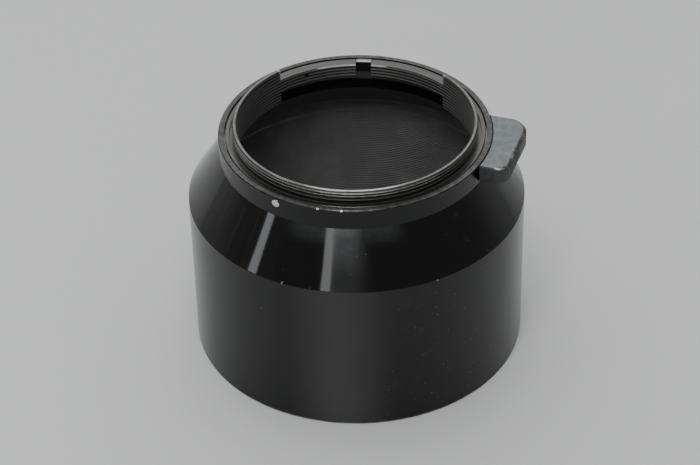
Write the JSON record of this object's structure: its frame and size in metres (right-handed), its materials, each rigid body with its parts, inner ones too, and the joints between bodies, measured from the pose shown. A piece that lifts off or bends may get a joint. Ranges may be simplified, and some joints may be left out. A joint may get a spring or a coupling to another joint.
{
  "type": "lens hood",
  "caption": "Cylindrical metal lens hood with a conical shoulder, a ribbed bore and an expanding split mount ring worked by a side lever.",
  "frame": {"origin": "on the optical axis, in the plane of the mouth rim that the hood stands on", "axes": "+Z along the optical axis from the mouth to the mount ring; +X towards the lever side; +Y towards the slit of the mount ring"},
  "size_m": [0.072, 0.072, 0.0533],
  "materials": {
    "barrel_black": "matte black anodised, fine dust and scuffs",
    "cone_black": "gloss black enamel",
    "collar_black": "satin black, worn bright edge",
    "inner_black": "matte black, inside",
    "mount_grey": "worn dark-anodised grey metal",
    "lever_grey": "worn blue-grey metal with dark sides",
    "steel": "plain steel",
    "key_dark": "blackened steel",
    "bead_silver": "polished index bead"
  },
  "bodies": {
    "hood": {"barrel_tube": "barrel_black", "cone_shell": "cone_black", "collar_housing": "collar_black", "collar_lock_ring": "inner_black", "wave_washer": "steel", "split_key": "key_dark", "key_screw": "steel", "index_bead": "bead_silver"},
    "lever": {"lever_ring": "steel", "lever_tab": "lever_grey", "lever_screws": "steel"},
    "ring_left": {"mount_ring_left": "mount_grey", "follower_pin_left": "steel", "stop_pin": "key_dark"},
    "ring_right": {"mount_ring_right": "mount_grey", "follower_pin_right": "steel"}
  },
  "joints": [
    {"name": "lever_turn", "type": "hinge", "parent": "hood", "child": "lever", "pos_m": [0, 0, 0.048], "axis": [0, 0, 1], "range_deg": [0, 12]},
    {"name": "ring_left_spread", "type": "hinge", "parent": "hood", "child": "ring_left", "pos_m": [-0.00225, -0.02736, 0.05], "axis": [0, 0, 1], "range_deg": [0, 0.4]},
    {"name": "ring_right_spread", "type": "hinge", "parent": "hood", "child": "ring_right", "pos_m": [-0.00225, -0.02736, 0.05], "axis": [0, 0, 1], "range_deg": [-0.4, 0]}
  ],
  "couplings": [
    {"joint": "ring_left_spread", "follows": "lever_turn", "ratio": 0.031667},
    {"joint": "ring_right_spread", "follows": "lever_turn", "ratio": -0.031667}
  ]
}
